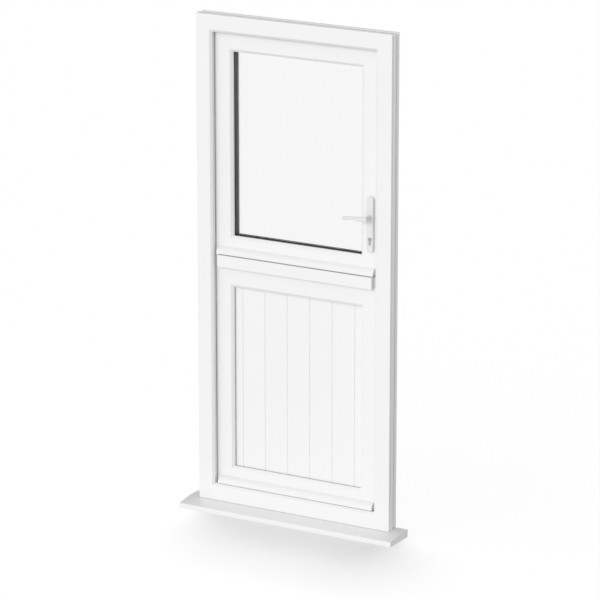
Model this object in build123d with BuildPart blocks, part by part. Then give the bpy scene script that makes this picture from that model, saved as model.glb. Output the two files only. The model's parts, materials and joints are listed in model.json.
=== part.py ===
from build123d import *
import os

# Stable door set: a plastic door in two leaves, in its frame, on a projecting cill.
# X runs across the door, with the hinges at -X and the lock at +X. Y runs from outside to inside, and
# Z is up. The origin is on the underside of the cill, below the middle of the frame's outer face.
# All sizes are in millimetres.

# Rounding of the plastic corners that show
EDGE_ROUND = 2.5

# Frame: outside sizes, and the section of its four lengths
FRAME_WIDTH = 900
FRAME_HEIGHT = 2070
FRAME_DEPTH = 70
FRAME_SIGHT = 73  # outer edge to the inner edge of the lip
FRAME_BEVEL_WIDTH = 10
FRAME_BEVEL_DEPTH = 8
FRAME_LIP = 22  # depth of the outer lip that the leaves close behind
FRAME_WALL = 50  # outer edge to the floor of the rebate
FRONT_GROOVE_START = 6
FRONT_GROOVE_WIDTH = 5
FRONT_GROOVE_DEPTH = 3
SIDE_GROOVE_START = 33
SIDE_GROOVE_WIDTH = 16
SIDE_GROOVE_DEPTH = 6
BACK_STEP_WIDTH = 9
BACK_STEP_DEPTH = 5

# Cill under the frame
CILL_HEIGHT = 30
CILL_PROJECTION = 80  # in front of the frame
CILL_HORN = 50  # past the frame at each end
CILL_FALL = 10  # drop of the sloping top, from the frame to the nose
CILL_NOSE_RADIUS = 6
CILL_CAP = 4  # thickness of an end cap
DRIP_SETBACK = 9  # nose to the drip groove
DRIP_WIDTH = 7
DRIP_DEPTH = 5

# Leaves: the section of their lengths, and their places in the frame
LEAF_FACE = 30  # frame's outer face to a leaf's outer face
LEAF_DEPTH = 70
LEAF_GAP = 11  # floor of the rebate to a leaf's edge
LEAF_RAIL = 91  # leaf's edge to the sight line of its infill
LEAF_BEVEL_WIDTH = 11
LEAF_BEVEL_DEPTH = 8
LEAF_LIP = 16  # thickness of the outer lip that the infill is bedded on
LEAF_BACK_ROUND = 4  # rounding of the flange's inner corner
FLANGE_OVERLAP = 8  # leaf over the frame's inner face
FLANGE_GAP = 5  # frame's inner face to the flange
EDGE_COVER = 17  # depth of the rebate that holds the infill
MEETING_HEIGHT = 1095  # top of the lower leaf above the ground
MEETING_GAP = 5
MEETING_RAIL = 45  # height of the extra rail on top of the lower leaf
MEETING_TRIM = 14  # cut off the foot of the upper leaf

# Infill: sealed unit, boarded panel, beads and gaskets
GASKET = 3
GASKET_WIDTH = 12
INFILL = 28  # thickness of the sealed unit and of the panel
INFILL_CLEARANCE = 4  # around the infill, in its rebate
PANE = 4
SPACER_WIDTH = 12
BEAD_SLOPE_WIDTH = 7
BEAD_SLOPE_DEPTH = 15
BOARD = 105  # width of a board of the panel
BOARD_GROOVE_WIDTH = 5
BOARD_GROOVE_DEPTH = 3
SEAL_WIDTH = 7  # weather seal behind the frame's lip
SEAL_HEIGHT = 3
SEAL_SETBACK = 1

# Weather bars, and the cover strip of the meeting rail
BAR_END_GAP = 13  # frame's lip to the end of a bar
BAR_HEIGHT = 30
BAR_REACH = 23  # in front of a leaf's face
BAR_NOSE = 7  # height and thickness of the blunt nose
BAR_TOP = 3  # thickness of the upper edge
BAR_CROWN = 3  # bulge of the sloping face
BAR_CLEARANCE = 3  # over the lip of the threshold
BAR_DRIP_WIDTH = 4
BAR_DRIP_DEPTH = 3
COVER_END_GAP = 18
COVER_HEIGHT = 53
COVER_REACH = 23
COVER_ROUND = 5

# Hinges
HINGE_OUT = 12  # leaf's inner face to the hinge axis
HINGE_SIDE = 8  # edge of the flange to the hinge axis
HINGE_END = 150  # end of a leaf to the middle of its hinge
KNUCKLE_RADIUS = 9
KNUCKLE_HEIGHT = 44
KNUCKLE_GAP = 0.4
PIN_RADIUS = 4.5
PIN_CLEARANCE = 0.06
PIN_SHORT = 3  # top of the pin below the top of the knuckle
HINGE_PLATE = 5
HINGE_PLATE_WIDTH = 30
HINGE_PLATE_CORNER = 5
HINGE_ARM = 10
FLAG_LENGTH = 70  # hinge axis to the end of the flag
FLAG_THICKNESS = 5
FLAG_CORNER = 8

# Handle, lock and keeps
HANDLE_BACKSET = 45  # lock edge of the leaf to the spindle
LOCK_CENTRES = 92  # spindle to lock cylinder
PLATE_END = 96  # foot of the upper leaf to the foot of the plate
PLATE_HEIGHT = 230
PLATE_WIDTH = 31
PLATE_ABOVE = 84  # spindle to the top of the plate
PLATE_THICKNESS = 12
PLATE_CORNER = 10
PLATE_CHAMFER = 3
NECK_RADIUS = 9
NECK_CLEARANCE = 0.06
NECK_LENGTH = 40  # face of the plate to the middle of the grip
HUB_HALF = 10.5  # half the height of the grip at the spindle
HUB_CORNER = 9
GRIP_LENGTH = 104  # spindle to the tip
GRIP_HEIGHT = 12.5  # past the root
GRIP_DEPTH = 12
GRIP_DROOP = 6.5  # middle of the tip below the spindle
GRIP_ROOT = 34  # spindle to the end of the deep root
GRIP_EASE = 16  # length over which the root thins out
GRIP_CURVE = 30  # radius at both ends of that length
GRIP_TIP_CORNER = 5
GRIP_ROUND = 4  # front rim
GRIP_CHAMFER = 3  # rim towards the door
SPINDLE = 7
SPINDLE_HOLE = 6
CYLINDER_RADIUS = 8.5
CYLINDER_TAIL = 24.5  # middle of the barrel to the foot of the tail
CYLINDER_TAIL_WIDTH = 10
CYLINDER_CLEARANCE = 0.3
CYLINDER_PROUD = 2
KEYWAY_WIDTH = 2
KEYWAY_HEIGHT = 9
KEYWAY_DEPTH = 5
FACEPLATE_WIDTH = 16
FACEPLATE_THICKNESS = 3
FACEPLATE_END = 100  # end of a leaf to the end of its faceplate
KEEP_THICKNESS = 2.5
KEEP_WIDTH = 20
KEEP_LENGTH = 110
KEEP_SETBACK = 120  # end of a leaf to the near end of a keep
HOOK_SLOT_WIDTH = 9  # slots in keeps and faceplates
HOOK_SLOT_LENGTH = 46
HOOK_SLOT_DEPTH = 14  # into the leaf's edge

# Fixing holes through the jambs
FIXING_RADIUS = 4
FIXING_END = 100  # end of a jamb to its outermost hole
FIXING_COUNT = 4

# Places that follow from the sizes
HALF_WIDTH = FRAME_WIDTH / 2
FRAME_FOOT = CILL_HEIGHT
FRAME_TOP = FRAME_FOOT + FRAME_HEIGHT
LEAF_INSET = FRAME_WALL + LEAF_GAP
LEAF_HALF = HALF_WIDTH - LEAF_INSET
LEAF_BACK = LEAF_FACE + LEAF_DEPTH
LIP_BACK = LEAF_FACE + LEAF_LIP
FLANGE_FRONT = FRAME_DEPTH + FLANGE_GAP
FLANGE_REACH = LEAF_GAP + FLANGE_OVERLAP
INFILL_FRONT = LIP_BACK + GASKET
INFILL_BACK = INFILL_FRONT + INFILL
INFILL_INSET = LEAF_RAIL - EDGE_COVER + INFILL_CLEARANCE
UPPER_FOOT = MEETING_HEIGHT + MEETING_GAP
UPPER_TOP = FRAME_TOP - LEAF_INSET
LOWER_FOOT = FRAME_FOOT + LEAF_INSET
LOWER_TOP = MEETING_HEIGHT - MEETING_RAIL
LEAVES = {"upper": (UPPER_FOOT - MEETING_TRIM, UPPER_TOP), "lower": (LOWER_FOOT, LOWER_TOP)}
BAR_HALF = HALF_WIDTH - FRAME_SIGHT - BAR_END_GAP
COVER_HALF = HALF_WIDTH - FRAME_SIGHT - COVER_END_GAP
HINGE_X = -(LEAF_HALF + FLANGE_REACH + HINGE_SIDE)
HINGE_Y = LEAF_BACK + HINGE_OUT
SPINDLE_X = LEAF_HALF - HANDLE_BACKSET
PLATE_MIDDLE = UPPER_FOOT + PLATE_END + PLATE_HEIGHT / 2
SPINDLE_HEIGHT = PLATE_MIDDLE + PLATE_HEIGHT / 2 - PLATE_ABOVE
CYLINDER_HEIGHT = SPINDLE_HEIGHT - LOCK_CENTRES
EDGE_MIDDLE = (LEAF_FACE + FLANGE_FRONT) / 2
FIXING_Y = SIDE_GROOVE_START + SIDE_GROOVE_WIDTH / 2
KEEP_FACE = HALF_WIDTH - FRAME_WALL - KEEP_THICKNESS

X_AXIS = Vector(1, 0, 0)
Y_AXIS = Vector(0, 1, 0)
Z_AXIS = Vector(0, 0, 1)

os.makedirs("parts", exist_ok=True)


def save(piece, name):
    """Label a finished piece and write it to its own file."""
    piece.part.label = name
    export_step(piece.part, f"parts/{name}.step")


def sides(half, foot, top):
    """The four outer edges of a rectangle: the middle of each, its direction inwards and its length."""
    middle = (foot + top) / 2
    return {
        "top": (Vector(0, 0, top), -Z_AXIS, 2 * half),
        "bottom": (Vector(0, 0, foot), Z_AXIS, 2 * half),
        "hinge": (Vector(-half, 0, middle), X_AXIS, top - foot),
        "lock": (Vector(half, 0, middle), -X_AXIS, top - foot),
    }


def run_mitred(side, draw_section, overhang=0):
    """Run a section, drawn inwards from the edge, along one side of a rectangle and mitre both ends."""
    middle, inwards, length = side
    plane = Plane(origin=middle, x_dir=inwards, z_dir=inwards.cross(Y_AXIS))
    with BuildSketch(plane) as section:
        with BuildLine():
            draw_section()
        make_face()
    extrude(section.sketch, amount=length / 2 + overhang, both=True)
    for end in (1, -1):
        corner = middle + plane.z_dir * (end * length / 2)
        mitre = Plane(origin=corner, z_dir=inwards + plane.z_dir * end)
        split(bisect_by=mitre, keep=Keep.BOTTOM)


def block(x_span, y_span, z_span, mode=Mode.ADD):
    """A plain block between two limits along each axis."""
    spans = (x_span, y_span, z_span)
    with Locations(Vector(*[sum(span) / 2 for span in spans])):
        Box(*[max(span) - min(span) for span in spans], mode=mode)


def ring(half, foot, top, width, front, depth):
    """A closed band of even width along the inside of a rectangle."""
    with BuildSketch(Plane.XZ.offset(-front)) as band:
        with Locations((0, (foot + top) / 2)):
            Rectangle(2 * half, top - foot)
            Rectangle(2 * (half - width), top - foot - 2 * width, mode=Mode.SUBTRACT)
    extrude(band.sketch, amount=-depth)


def sheet(foot, top, front, thickness):
    """A flat sheet that fills the rebate of a leaf."""
    block(
        (INFILL_INSET - LEAF_HALF, LEAF_HALF - INFILL_INSET),
        (front, front + thickness),
        (foot + INFILL_INSET, top - INFILL_INSET),
    )


def frame_section():
    """Frame: flat face with rounded corners, bevel, lip, rebate, stepped back and two outer grooves."""
    side_groove_end = SIDE_GROOVE_START + SIDE_GROOVE_WIDTH
    front_groove_end = FRONT_GROOVE_START + FRONT_GROOVE_WIDTH
    FilletPolyline(
        (0, FRONT_GROOVE_START),
        (0, 0),
        (FRAME_SIGHT - FRAME_BEVEL_WIDTH, 0),
        (FRAME_SIGHT, FRAME_BEVEL_DEPTH),
        (FRAME_SIGHT, FRAME_LIP),
        radius=EDGE_ROUND,
    )
    Polyline(
        (FRAME_SIGHT, FRAME_LIP),
        (FRAME_WALL, FRAME_LIP),
        (FRAME_WALL, FRAME_DEPTH),
        (BACK_STEP_DEPTH, FRAME_DEPTH),
        (BACK_STEP_DEPTH, FRAME_DEPTH - BACK_STEP_WIDTH),
        (0, FRAME_DEPTH - BACK_STEP_WIDTH),
        (0, side_groove_end),
        (SIDE_GROOVE_DEPTH, side_groove_end),
        (SIDE_GROOVE_DEPTH, SIDE_GROOVE_START),
        (0, SIDE_GROOVE_START),
        (0, front_groove_end),
        (FRONT_GROOVE_DEPTH, front_groove_end),
        (FRONT_GROOVE_DEPTH, FRONT_GROOVE_START),
        (0, FRONT_GROOVE_START),
    )


def leaf_section(flange):
    """Leaf: flat face, bevel, lip, rebate for the infill, and a flange that laps the frame."""
    rebate = LEAF_RAIL - EDGE_COVER
    edge_back = (0, FLANGE_FRONT)
    round_start = (LEAF_BACK_ROUND - flange, LEAF_BACK)
    round_end = (-flange, LEAF_BACK - LEAF_BACK_ROUND)
    FilletPolyline(
        edge_back,
        (0, LEAF_FACE),
        (LEAF_RAIL - LEAF_BEVEL_WIDTH, LEAF_FACE),
        (LEAF_RAIL, LEAF_FACE + LEAF_BEVEL_DEPTH),
        (LEAF_RAIL, LIP_BACK),
        radius=EDGE_ROUND,
    )
    Polyline((LEAF_RAIL, LIP_BACK), (rebate, LIP_BACK), (rebate, LEAF_BACK), round_start)
    RadiusArc(round_start, round_end, LEAF_BACK_ROUND)
    if flange:
        Polyline(round_end, (-flange, FLANGE_FRONT), edge_back)
    else:
        Line(round_end, edge_back)


def bead_section():
    """Glazing bead: it fills the rebate behind the infill and slopes towards the room."""
    rebate = LEAF_RAIL - EDGE_COVER
    FilletPolyline(
        (LEAF_RAIL, INFILL_BACK),
        (LEAF_RAIL, LEAF_BACK - BEAD_SLOPE_DEPTH),
        (LEAF_RAIL - BEAD_SLOPE_WIDTH, LEAF_BACK),
        (rebate, LEAF_BACK),
        radius=EDGE_ROUND,
    )
    Polyline((rebate, LEAF_BACK), (rebate, INFILL_BACK), (LEAF_RAIL, INFILL_BACK))


def cill_run(start, length):
    """A length of the cill: flat under the frame, falling to a rounded nose, with a drip groove below."""
    nose = -CILL_PROJECTION
    drip = nose + DRIP_SETBACK
    with BuildSketch(Plane.YZ.offset(start)) as section:
        with BuildLine():
            nose_top = (nose, CILL_HEIGHT - CILL_FALL)
            FilletPolyline((0, CILL_HEIGHT), nose_top, (nose, 0), radius=CILL_NOSE_RADIUS)
            Polyline(
                (nose, 0),
                (drip, 0),
                (drip, DRIP_DEPTH),
                (drip + DRIP_WIDTH, DRIP_DEPTH),
                (drip + DRIP_WIDTH, 0),
                (FRAME_DEPTH, 0),
                (FRAME_DEPTH, CILL_HEIGHT),
                (0, CILL_HEIGHT),
            )
        make_face()
    extrude(section.sketch, amount=length)


def weather_bar(foot):
    """A bar on a leaf's face, with a crowned slope, a blunt nose and a drip groove under it."""
    nose = LEAF_FACE - BAR_REACH
    drip = nose + BAR_NOSE
    slope_top = (LEAF_FACE - BAR_TOP, foot + BAR_HEIGHT)
    slope_foot = (nose, foot + BAR_NOSE)
    with BuildSketch(Plane.YZ.offset(-BAR_HALF)) as section:
        with BuildLine():
            SagittaArc(slope_top, slope_foot, -BAR_CROWN)
            Polyline(
                slope_foot,
                (nose, foot),
                (drip, foot),
                (drip, foot + BAR_DRIP_DEPTH),
                (drip + BAR_DRIP_WIDTH, foot + BAR_DRIP_DEPTH),
                (drip + BAR_DRIP_WIDTH, foot),
                (LEAF_FACE, foot),
                (LEAF_FACE, foot + BAR_HEIGHT),
                slope_top,
            )
        make_face()
    extrude(section.sketch, amount=2 * BAR_HALF)


def disc(radius, foot, height, mode=Mode.ADD):
    """A round length on a hinge's axis."""
    with BuildSketch(Plane.XY.offset(foot)) as circle:
        with Locations((HINGE_X, HINGE_Y)):
            Circle(radius)
    extrude(circle.sketch, amount=height, mode=mode)


def pin_hinge(height):
    """Frame's half of a hinge: plate, arm, lower knuckle and the pin that stands up out of it."""
    knuckle_top = height - KNUCKLE_GAP / 2
    knuckle_foot = knuckle_top - KNUCKLE_HEIGHT
    arm_end = HINGE_X + HINGE_ARM / 2
    plate_height = height + KNUCKLE_HEIGHT - knuckle_foot
    with BuildSketch(Plane.XZ.offset(-FRAME_DEPTH)) as plate:
        with Locations((arm_end - HINGE_PLATE_WIDTH / 2, knuckle_foot + plate_height / 2)):
            RectangleRounded(HINGE_PLATE_WIDTH, plate_height, HINGE_PLATE_CORNER)
    extrude(plate.sketch, amount=-HINGE_PLATE)
    block((arm_end - HINGE_ARM, arm_end), (FRAME_DEPTH, HINGE_Y), (knuckle_foot, knuckle_top))
    disc(KNUCKLE_RADIUS, knuckle_foot, KNUCKLE_HEIGHT)
    disc(PIN_RADIUS, knuckle_top, KNUCKLE_GAP + KNUCKLE_HEIGHT - PIN_SHORT)


def flag_hinge(height):
    """Leaf's half of a hinge: a flag on the leaf's inner face and the upper knuckle, bored for the pin."""
    foot = height + KNUCKLE_GAP / 2
    bend = HINGE_X + HINGE_SIDE + FLANGE_OVERLAP
    with BuildSketch(Plane.XY.offset(foot)) as flag:
        with BuildLine():
            Polyline(
                (HINGE_X, HINGE_Y + KNUCKLE_RADIUS),
                (HINGE_X, HINGE_Y - KNUCKLE_RADIUS),
                (bend, LEAF_BACK),
                (HINGE_X + FLAG_LENGTH, LEAF_BACK),
                (HINGE_X + FLAG_LENGTH, LEAF_BACK + FLAG_THICKNESS),
                (bend + KNUCKLE_RADIUS, LEAF_BACK + FLAG_THICKNESS),
                close=True,
            )
        make_face()
    leaf_half = extrude(flag.sketch, amount=KNUCKLE_HEIGHT)
    free_end = leaf_half.faces().sort_by(Axis.X)[-1]
    fillet(free_end.edges().filter_by(Axis.Y), radius=FLAG_CORNER)
    disc(KNUCKLE_RADIUS, foot, KNUCKLE_HEIGHT)
    disc(PIN_RADIUS + PIN_CLEARANCE, foot, KNUCKLE_HEIGHT, mode=Mode.SUBTRACT)


def cylinder_outline(clearance=0):
    """Lock cylinder: a round barrel with a narrower, round-ended tail below it."""
    half = CYLINDER_TAIL_WIDTH / 2 + clearance
    drop = CYLINDER_TAIL - CYLINDER_TAIL_WIDTH / 2
    with Locations((SPINDLE_X, CYLINDER_HEIGHT)):
        Circle(CYLINDER_RADIUS + clearance)
    with Locations((SPINDLE_X, CYLINDER_HEIGHT - drop / 2)):
        Rectangle(2 * half, drop)
    with Locations((SPINDLE_X, CYLINDER_HEIGHT - drop)):
        Circle(half)


def keep_middles(foot, top):
    """Heights of the two keeps of a leaf, and of the hooks that enter them."""
    inset = KEEP_SETBACK + KEEP_LENGTH / 2
    return (foot + inset, top - inset)


def hook_slots(start, end, foot, top):
    """Cut the slots for a leaf's hooks through a keep or into the leaf's edge."""
    for middle in keep_middles(foot, top):
        block(
            (start, end),
            (EDGE_MIDDLE - HOOK_SLOT_WIDTH / 2, EDGE_MIDDLE + HOOK_SLOT_WIDTH / 2),
            (middle - HOOK_SLOT_LENGTH / 2, middle + HOOK_SLOT_LENGTH / 2),
            mode=Mode.SUBTRACT,
        )


def lock_cuts(spindle_hole, face, depth):
    """Cut through a plate or stile for the cylinder and for the handle's spindle or neck."""
    with BuildSketch(Plane.XZ.offset(-face)) as holes:
        cylinder_outline(CYLINDER_CLEARANCE)
        with Locations((SPINDLE_X, SPINDLE_HEIGHT)):
            Circle(spindle_hole)
    extrude(holes.sketch, amount=-depth, mode=Mode.SUBTRACT)


def backplate(face, outwards):
    """A long plate with rounded corners and a chamfered rim."""
    with BuildSketch(Plane.XZ.offset(-face)) as outline:
        with Locations((SPINDLE_X, PLATE_MIDDLE)):
            RectangleRounded(PLATE_WIDTH, PLATE_HEIGHT, PLATE_CORNER)
    plate = extrude(outline.sketch, amount=-outwards * PLATE_THICKNESS)
    outer_face = plate.faces().sort_by(Axis((0, 0, 0), (0, outwards, 0)))[-1]
    chamfer(outer_face.edges(), length=PLATE_CHAMFER)
    lock_cuts(NECK_RADIUS + NECK_CLEARANCE, face, outwards * PLATE_THICKNESS)


def grip_outline():
    """Grip seen from the front: a deep root round the spindle, thinned below, drooping to a rounded tip."""
    tip_top = GRIP_HEIGHT / 2 - GRIP_DROOP
    slope = (HUB_HALF - tip_top) / GRIP_LENGTH
    root_end = GRIP_ROOT + GRIP_EASE
    corners = (
        (HUB_HALF, HUB_HALF),
        (HUB_HALF, -HUB_HALF),
        (-GRIP_ROOT, -HUB_HALF),
        (-root_end, HUB_HALF - slope * root_end - GRIP_HEIGHT),
        (-GRIP_LENGTH, tip_top - GRIP_HEIGHT),
        (-GRIP_LENGTH, tip_top),
    )
    radii = (HUB_CORNER, HUB_CORNER, GRIP_CURVE, GRIP_CURVE, GRIP_TIP_CORNER, GRIP_TIP_CORNER)
    points = [(SPINDLE_X + across, SPINDLE_HEIGHT + up) for across, up in corners]
    FilletPolyline(*points, radius=radii, close=True)


def lever(face, outwards):
    """A grip with a rounded front, on a round neck that turns in the plate."""
    reach = PLATE_THICKNESS + NECK_LENGTH
    grip_back = face + outwards * (reach - GRIP_DEPTH / 2)
    with BuildSketch(Plane.XZ.offset(-grip_back)) as grip:
        with BuildLine():
            grip_outline()
        make_face()
    extrude(grip.sketch, amount=-outwards * GRIP_DEPTH)
    towards_hand = Axis((0, 0, 0), (0, outwards, 0))
    chamfer(faces().sort_by(towards_hand)[0].edges(), length=GRIP_CHAMFER)
    fillet(faces().sort_by(towards_hand)[-1].edges(), radius=GRIP_ROUND)
    with BuildSketch(Plane.XZ.offset(-face)) as neck:
        with Locations((SPINDLE_X, SPINDLE_HEIGHT)):
            Circle(NECK_RADIUS)
    extrude(neck.sketch, amount=-outwards * reach)


# Frame: head, threshold and jambs, with the weather seal behind the lip
FRAME_NAMES = {
    "top": "frame_head",
    "bottom": "frame_threshold",
    "hinge": "frame_hinge_jamb",
    "lock": "frame_lock_jamb",
}
fixing_pitch = (FRAME_HEIGHT - 2 * FIXING_END) / (FIXING_COUNT - 1)
for place, side in sides(HALF_WIDTH, FRAME_FOOT, FRAME_TOP).items():
    with BuildPart() as frame_length:
        run_mitred(side, frame_section)
        if place in ("hinge", "lock"):
            for index in range(FIXING_COUNT):
                height = FRAME_FOOT + FIXING_END + index * fixing_pitch
                with Locations(Plane(origin=(side[0].X, FIXING_Y, height), z_dir=X_AXIS)):
                    Cylinder(FIXING_RADIUS, 2 * FRAME_SIGHT, mode=Mode.SUBTRACT)
    save(frame_length, FRAME_NAMES[place])

with BuildPart() as weather_seal:
    inset = FRAME_SIGHT - SEAL_SETBACK - SEAL_WIDTH
    ring(HALF_WIDTH - inset, FRAME_FOOT + inset, FRAME_TOP - inset, SEAL_WIDTH, FRAME_LIP, SEAL_HEIGHT)
save(weather_seal, "frame_weather_seal")

# Cill, closed by a cap at each end
CILL_HALF = HALF_WIDTH + CILL_HORN - CILL_CAP
with BuildPart() as cill:
    cill_run(-CILL_HALF, 2 * CILL_HALF)
save(cill, "cill")

with BuildPart() as cill_end_caps:
    cill_run(-CILL_HALF - CILL_CAP, CILL_CAP)
    cill_run(CILL_HALF, CILL_CAP)
save(cill_end_caps, "cill_end_caps")

# Leaves: four mitred lengths each, with the flange left off where the leaves meet
MEETING_SIDE = {"upper": "bottom", "lower": "top"}
MEETING_CUT = {"upper": (UPPER_FOOT, Keep.TOP), "lower": (LOWER_TOP, Keep.BOTTOM)}
LENGTH_NAMES = {"top": "top_rail", "bottom": "bottom_rail", "hinge": "hinge_stile", "lock": "lock_stile"}
for leaf, (foot, top) in LEAVES.items():
    faceplate_span = (
        (LEAF_HALF - FACEPLATE_THICKNESS, LEAF_HALF),
        (EDGE_MIDDLE - FACEPLATE_WIDTH / 2, EDGE_MIDDLE + FACEPLATE_WIDTH / 2),
        (foot + FACEPLATE_END, top - FACEPLATE_END),
    )
    for place, side in sides(LEAF_HALF, foot, top).items():
        flange = 0 if place == MEETING_SIDE[leaf] else FLANGE_REACH
        with BuildPart() as leaf_length:
            run_mitred(side, lambda: leaf_section(flange), overhang=FLANGE_REACH)
            cut_height, kept = MEETING_CUT[leaf]
            split(bisect_by=Plane(origin=(0, 0, cut_height)), keep=kept)
            if place == "lock":
                block(*faceplate_span, mode=Mode.SUBTRACT)
                hook_slots(LEAF_HALF - HOOK_SLOT_DEPTH, LEAF_HALF, foot, top)
            if place == "lock" and leaf == "upper":
                lock_cuts(SPINDLE_HOLE, LEAF_FACE, LEAF_DEPTH)
        save(leaf_length, f"{leaf}_{LENGTH_NAMES[place]}")

        with BuildPart() as bead:
            run_mitred(side, bead_section)
        save(bead, f"{leaf}_bead_{place}")

    with BuildPart() as infill_gasket:
        inset = LEAF_RAIL - GASKET_WIDTH
        ring(LEAF_HALF - inset, foot + inset, top - inset, GASKET_WIDTH, LIP_BACK, GASKET)
    save(infill_gasket, f"{leaf}_infill_gasket")

    with BuildPart() as faceplate:
        block(*faceplate_span)
        hook_slots(LEAF_HALF - FACEPLATE_THICKNESS, LEAF_HALF, foot, top)
    save(faceplate, f"{leaf}_lock_faceplate")

    hinge_heights = (foot + HINGE_END, top - HINGE_END)
    with BuildPart() as hinge_pins:
        for height in hinge_heights:
            pin_hinge(height)
    save(hinge_pins, f"{leaf}_hinge_pins")

    with BuildPart() as hinge_flags:
        for height in hinge_heights:
            flag_hinge(height)
    save(hinge_flags, f"{leaf}_hinge_flags")

# Sealed unit of the upper leaf: two panes and the spacer between them
glazed_foot, glazed_top = LEAVES["upper"]
with BuildPart() as outer_pane:
    sheet(glazed_foot, glazed_top, INFILL_FRONT, PANE)
save(outer_pane, "glass_outer_pane")

with BuildPart() as inner_pane:
    sheet(glazed_foot, glazed_top, INFILL_BACK - PANE, PANE)
save(inner_pane, "glass_inner_pane")

with BuildPart() as glass_spacer:
    inset = LEAF_RAIL - SPACER_WIDTH
    ring(
        LEAF_HALF - inset,
        glazed_foot + inset,
        glazed_top - inset,
        SPACER_WIDTH,
        INFILL_FRONT + PANE,
        INFILL - 2 * PANE,
    )
save(glass_spacer, "glass_spacer")

# Panel of the lower leaf: boards marked off by V grooves on both faces
with BuildPart() as panel:
    sheet(LOWER_FOOT, LOWER_TOP, INFILL_FRONT, INFILL)
    groove_pairs = int((LEAF_HALF - LEAF_RAIL) / BOARD + 0.5)
    with BuildSketch(Plane.XY.offset(LOWER_FOOT)):
        for index in range(-groove_pairs, groove_pairs):
            across = (index + 0.5) * BOARD
            for face, inwards in ((INFILL_FRONT, 1), (INFILL_BACK, -1)):
                with BuildLine():
                    Polyline(
                        (across - BOARD_GROOVE_WIDTH / 2, face),
                        (across, face + inwards * BOARD_GROOVE_DEPTH),
                        (across + BOARD_GROOVE_WIDTH / 2, face),
                        close=True,
                    )
                make_face()
    extrude(amount=LOWER_TOP - LOWER_FOOT, mode=Mode.SUBTRACT)
save(panel, "lower_panel")

# Meeting rail on top of the lower leaf, with the cover strip in front of it
with BuildPart() as meeting_rail:
    flange_half = LEAF_HALF + FLANGE_REACH
    block((-LEAF_HALF, LEAF_HALF), (LEAF_FACE, LEAF_BACK), (LOWER_TOP, MEETING_HEIGHT))
    block((-flange_half, flange_half), (FLANGE_FRONT, LEAF_BACK), (LOWER_TOP, MEETING_HEIGHT))
save(meeting_rail, "lower_meeting_rail")

with BuildPart() as meeting_cover:
    block(
        (-COVER_HALF, COVER_HALF),
        (LEAF_FACE - COVER_REACH, LEAF_FACE),
        (MEETING_HEIGHT - COVER_HEIGHT, MEETING_HEIGHT),
    )
    fillet(meeting_cover.edges().filter_by(Axis.X).group_by(Axis.Y)[0], radius=COVER_ROUND)
save(meeting_cover, "lower_meeting_cover")

# Weather bars along the foot of each leaf
BAR_FEET = {"upper": UPPER_FOOT, "lower": FRAME_FOOT + FRAME_SIGHT + BAR_CLEARANCE}
for leaf, bar_foot in BAR_FEET.items():
    with BuildPart() as bar:
        weather_bar(bar_foot)
    save(bar, f"{leaf}_weather_bar")

# Keeps on the lock jamb
with BuildPart() as keeps:
    for foot, top in LEAVES.values():
        for middle in keep_middles(foot, top):
            block(
                (KEEP_FACE, KEEP_FACE + KEEP_THICKNESS),
                (EDGE_MIDDLE - KEEP_WIDTH / 2, EDGE_MIDDLE + KEEP_WIDTH / 2),
                (middle - KEEP_LENGTH / 2, middle + KEEP_LENGTH / 2),
            )
        hook_slots(KEEP_FACE, KEEP_FACE + KEEP_THICKNESS, foot, top)
save(keeps, "lock_keeps")

# Handle: a backplate and a lever on each face of the upper leaf, one spindle and one cylinder
HANDLE_SIDES = {"outside": (LEAF_FACE, -1), "inside": (LEAF_BACK, 1)}
for place, (face, outwards) in HANDLE_SIDES.items():
    with BuildPart() as plate:
        backplate(face, outwards)
    save(plate, f"{place}_backplate")

    with BuildPart() as handle:
        lever(face, outwards)
    save(handle, f"{place}_lever")

with BuildPart() as spindle:
    block(
        (SPINDLE_X - SPINDLE / 2, SPINDLE_X + SPINDLE / 2),
        (LEAF_FACE, LEAF_BACK),
        (SPINDLE_HEIGHT - SPINDLE / 2, SPINDLE_HEIGHT + SPINDLE / 2),
    )
save(spindle, "handle_spindle")

with BuildPart() as lock_cylinder:
    reach = PLATE_THICKNESS + CYLINDER_PROUD
    with BuildSketch(Plane.XZ.offset(reach - LEAF_FACE)):
        cylinder_outline()
    extrude(amount=-(LEAF_DEPTH + 2 * reach))
    for start in (LEAF_FACE - reach, LEAF_BACK + reach - KEYWAY_DEPTH):
        block(
            (SPINDLE_X - KEYWAY_WIDTH / 2, SPINDLE_X + KEYWAY_WIDTH / 2),
            (start, start + KEYWAY_DEPTH),
            (CYLINDER_HEIGHT - KEYWAY_HEIGHT / 2, CYLINDER_HEIGHT + KEYWAY_HEIGHT / 2),
            mode=Mode.SUBTRACT,
        )
save(lock_cylinder, "lock_cylinder")
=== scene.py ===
"""Stable door set: finishes, seals, fixings and studio around the solids of the door.

All lengths are in metres, in the door's own frame: X across, with the hinges at -X and the lock at +X,
Y from outside to inside, Z up from the underside of the cill.
"""
import json
import math

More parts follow.
